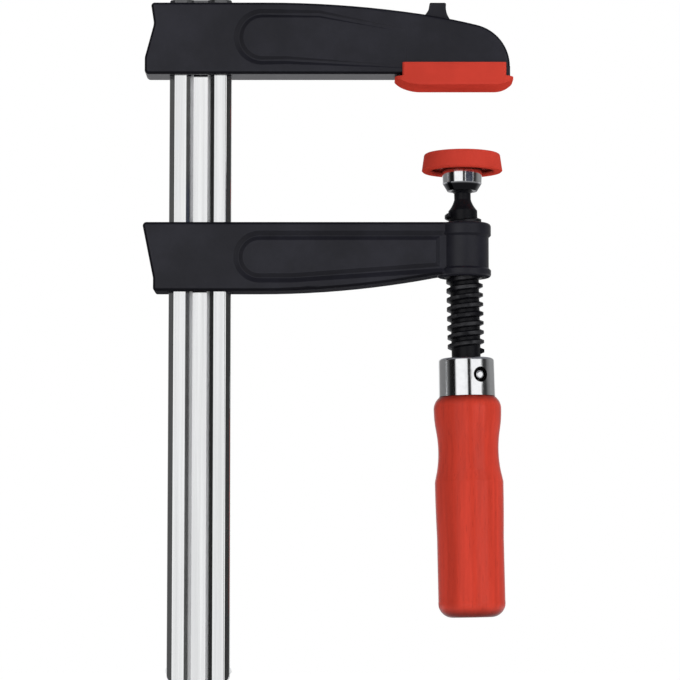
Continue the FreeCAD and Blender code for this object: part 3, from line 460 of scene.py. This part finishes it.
class CLAMP_OT_finish_handle(bpy.types.Operator):
    """Red lacquer over turned wood, with its grain showing faintly, and shade painted dark on its
    rounded ends and round the cross pin
    """

    bl_idname = "clamp.finish_handle"
    bl_label = "Finish the handle"

    def execute(self, context):
        colour = context.scene.clamp_colours.lacquer
        wood = new_finish("Red_lacquered_wood")
        grown = wood.place(scale=(1.0, 1.0, 0.055), middle=tuple(BALL))
        fibres = wood.noise(grown, scale=520.0, detail=4.0, roughness=0.6)
        bands = wood.noise(grown, scale=120.0, detail=2.0)
        pores = wood.noise(wood.place(scale=(1.0, 1.0, 0.10)), scale=1500.0, detail=1.0)
        tone = fibres.swing(0.55) + bands.swing(0.7) + 0.5
        base = wood.blend(tone.above(0.25, 0.75), rgba(colour, 0.80), rgba(colour, 1.10))
        base = wood.blend(pores.above(0.62, 0.72) * 0.35, base, rgba(colour, 0.55))
        # Painted shade: the handle is darkened where its surface turns up or down, on its rounded
        # ends.
        _, _, up = wood.facing()
        painted_end_shade = abs(up).above(0.20, 0.95)
        base = wood.blend(painted_end_shade * 0.85, base, rgba(colour, 0.12))
        pin_shade = self.painted_pin_shade(wood)
        wood.surface({
            # Painted shade: near black round the ends of the cross pin.
            "Base Color": wood.blend(pin_shade, base, rgba((0.006, 0.005, 0.005))),
            "Roughness": 0.34 + fibres.swing(0.18),
            "Normal": wood.bump(fibres, depth=0.00003, strength=0.5),
            "Specular IOR Level": 0.1,
            "Coat Weight": 0.15,
            "Coat Roughness": 0.16,
        })
        paint(["handle"], wood)
        return {"FINISHED"}

    @staticmethod
    def painted_pin_shade(wood):
        """Painted shade: the recess round each end of the cross pin, painted dark."""
        middle = (PIN[0] + PIN[1]) / 2
        _, aside, height = wood.parts(wood.place(middle=tuple(middle), turn=(0, 0, PIN_TURN)))
        off_pin = (aside * aside + height * height) ** 0.5
        return 1.0 - off_pin.above(*PIN_SHADE_RADII)


# What glossy surfaces mirror, as brightness by compass angle in degrees: 0 is behind the front
# camera, positive to its right, and a half turn is behind the clamp. Two wide soft boxes have a
# narrow gap between them and dim sides beside them, and the rear is paler. The world darkens
# this overhead, sets a mid grey steeply below, and lays a pale ground behind the clamp, which
# dims towards the horizon.
SURROUNDINGS = (
    (-180, 0.95), (-160, 0.90), (-148, 0.26),
    (-128, 0.20), (-96, 0.19), (-84, 0.10), (-74, 0.012), (-52, 0.004),
    (-45, 1.0), (-12, 1.0), (-8, 0.93), (0, 0.93),
    (3, 0.01), (13, 0.01),
    (17, 0.98), (62, 0.98),
    (67, 0.05), (82, 0.03), (94, 0.16), (112, 0.26), (148, 0.28),
    (160, 0.90), (180, 0.95),
)

# Soft lamps: name, place, size and power in watts.
LAMPS = (
    ("Key_light", (-0.75, -1.15, 0.75), (0.9, 0.9), 5.5),
    ("Fill_light", (0.85, -1.0, 0.25), (0.8, 0.9), 9.8),
    ("Top_light", (0.0, 0.35, 1.1), (0.9, 0.9), 14.0),
)

FLOOR_SIZE = 12.0
FLOOR_GLOW_SEEN = 0.62
FLOOR_GLOW_UNSEEN = 0.15
AIR_GLOW = 0.48

# The dark card, seen from the cup: how far off, how far round to the right, how high, how large.
CARD_AWAY = 0.30
CARD_TURN = math.radians(40)
CARD_RISE = math.radians(5)
CARD_SIZE = (0.24, 0.06, 1.0)
CUP_MIDDLE = BALL + Vector((0, 0, 0.003))


def aim(piece, target):
    """Turns a lamp or a card to face a point."""
    way = Vector(target) - piece.location
    piece.rotation_euler = way.to_track_quat("-Z", "Y").to_euler()


def soft_lamp(name, spot, size, watts):
    """A large soft lamp that mirrors don't show, since the surroundings stand for it."""
    bpy.ops.object.light_add(type="AREA", location=spot)
    lamp = bpy.context.object
    lamp.name = name
    lamp.data.shape = "RECTANGLE"
    lamp.data.size, lamp.data.size_y = size
    lamp.data.energy = watts
    lamp.visible_glossy = False
    aim(lamp, (CAD_BOX[0] + CAD_BOX[1]) / 2)


class CLAMP_OT_set_stage(bpy.types.Operator):
    """Pale floor, soft light and the camera"""

    bl_idname = "clamp.set_stage"
    bl_label = "Set the stage"

    def execute(self, context):
        stage = context.scene.clamp_stage
        self.lay_floor(stage)
        self.light_world(context.scene)
        for lamp in LAMPS:
            soft_lamp(*lamp)
        self.stand_card()
        self.place_camera(context.scene, stage)
        context.scene.view_settings.view_transform = "Standard"
        return {"FINISHED"}

    def lay_floor(self, stage):
        """A floor just under the lowest place that the handle reaches."""
        fall = JOINTS["arm_slide"]["range_m"][0] + JOINTS["screw_feed"]["range_m"][0]
        level = min(CAD_BOX[0].z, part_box("handle")[0].z + fall) - stage.floor_drop
        bpy.ops.object.select_all(action="DESELECT")
        bpy.ops.mesh.primitive_plane_add(size=FLOOR_SIZE, location=(0, 0, level))
        floor = bpy.context.object
        floor.name = "Studio_floor"
        floor.data.materials.append(self.floor_paper().holder)

    @staticmethod
    def floor_paper():
        """Matt paper that glows for the camera, and that mirrors don't show."""
        paper = new_finish("Pale_floor")
        cloud = paper.noise(paper.place(), scale=6.0)
        base = paper.blend(cloud, rgba((0.80, 0.80, 0.80)), rgba((0.83, 0.83, 0.83)))
        matt = paper.node("ShaderNodeBsdfDiffuse", {}, {"Color": base})
        bright = paper.glow(WHITE, FLOOR_GLOW_SEEN)
        faint = paper.glow(WHITE, FLOOR_GLOW_UNSEEN)
        seen = paper.node("ShaderNodeAddShader", {}, {0: matt, 1: bright})
        unseen = paper.node("ShaderNodeAddShader", {}, {0: matt, 1: faint})
        through = paper.node("ShaderNodeBsdfTransparent", {}, {})
        shader = paper.either(paper.ray("Is Camera Ray"), unseen, seen)
        paper.end(paper.either(paper.ray("Is Glossy Ray"), shader, through))
        return paper

    @staticmethod
    def stand_card():
        """A dark card off to the right, for the crimped cup to mirror."""
        way = Vector((math.sin(CARD_TURN), -math.cos(CARD_TURN), math.tan(CARD_RISE)))
        bpy.ops.mesh.primitive_plane_add(size=1.0, location=CUP_MIDDLE + CARD_AWAY * way)
        card = bpy.context.object
        card.name = "Dark_card"
        card.scale = CARD_SIZE
        aim(card, CUP_MIDDLE)
        card.visible_camera = False
        card.visible_diffuse = False
        card.visible_shadow = False
        felt = new_finish("Dark_felt")
        felt.end(felt.glow(rgba((0.035, 0.042, 0.065)), 1.0))
        card.data.materials.append(felt.holder)

    def light_world(self, scene):
        """Even light, white behind the clamp, and the surroundings for glossy surfaces."""
        world = bpy.data.worlds.new("Studio_light")
        scene.world = world
        air = Finish(world)
        shown = air.backdrop(self.mirrored(air), 1.0)
        shader = air.either(air.ray("Is Glossy Ray"), air.backdrop(WHITE, AIR_GLOW), shown)
        shader = air.either(air.ray("Is Camera Ray"), shader, air.backdrop(WHITE, 1.0))
        air.node("ShaderNodeOutputWorld", {}, {"Surface": shader})

    @staticmethod
    def mirrored(air):
        """The surroundings by direction; its Z is 0 at the horizon and 1 straight up."""
        way = air.node("ShaderNodeTexCoord", {}, {}, output="Generated")
        across, deep, height = air.parts(way)
        turn = across.angle_from(deep * -1.0)
        stops = [(angle / 360 + 0.5, level) for angle, level in SURROUNDINGS]
        share = turn / (2 * math.pi) + 0.5
        colour = air.node("ShaderNodeValToRGB", {"stops": stops}, {0: share})
        near_ground = rgba((0.84, 0.84, 0.87))
        far_ground = rgba((0.36, 0.36, 0.37))
        ground = air.blend(height.above(-0.17, -0.12), near_ground, far_ground)
        rear = (1.0 - height.above(-0.06, -0.02)) * deep.above(0.2, 0.5)
        colour = air.blend(rear, colour, ground)
        steep_down = (height * -1.0).above(0.30, 0.55)
        steep_up = height.above(0.30, 0.58)
        overhead = height.above(0.80, 0.95)
        colour = air.blend(steep_down, colour, rgba((0.42, 0.42, 0.43)))
        colour = air.blend(steep_up, colour, rgba((0.20, 0.20, 0.22)))
        return air.blend(overhead, colour, rgba((0.02, 0.02, 0.025)))

    @staticmethod
    def place_camera(scene, stage):
        bpy.ops.object.camera_add(location=stage.eye, rotation=(math.pi / 2 + stage.pitch, 0, 0))
        camera = bpy.context.object
        camera.name = "Front_camera"
        camera.data.sensor_width = 36.0
        camera.data.lens = stage.lens
        camera.data.clip_end = 20.0
        scene.camera = camera


class CLAMP_PT_sidebar(bpy.types.Panel):
    """Buttons for every piece and the stage"""

    bl_idname = "CLAMP_PT_sidebar"
    bl_label = "Bar clamp"
    bl_space_type = "VIEW_3D"
    bl_region_type = "UI"
    bl_category = "Clamp"

    def draw(self, context):
        for group in (context.scene.clamp_colours, context.scene.clamp_stage):
            for name in group.__annotations__:
                self.layout.prop(group, name)
        for operator in OPERATORS:
            self.layout.operator(operator.bl_idname)


OPERATORS = (
    CLAMP_OT_set_stage,
    CLAMP_OT_finish_rail,
    CLAMP_OT_finish_arms,
    CLAMP_OT_finish_caps,
    CLAMP_OT_finish_screw,
    CLAMP_OT_finish_plating,
    CLAMP_OT_finish_seat,
    CLAMP_OT_finish_handle,
)
CLASSES = (ClampColours, ClampStage) + OPERATORS + (CLAMP_PT_sidebar,)


def register():
    for cls in CLASSES:
        bpy.utils.register_class(cls)
    bpy.types.Scene.clamp_colours = bpy.props.PointerProperty(type=ClampColours)
    bpy.types.Scene.clamp_stage = bpy.props.PointerProperty(type=ClampStage)


def unregister():
    del bpy.types.Scene.clamp_stage
    del bpy.types.Scene.clamp_colours
    for cls in reversed(CLASSES):
        bpy.utils.unregister_class(cls)


def main():
    register()
    for operator in OPERATORS:
        family, name = operator.bl_idname.split(".")
        getattr(getattr(bpy.ops, family), name)()


if __name__ == "__main__":
    main()
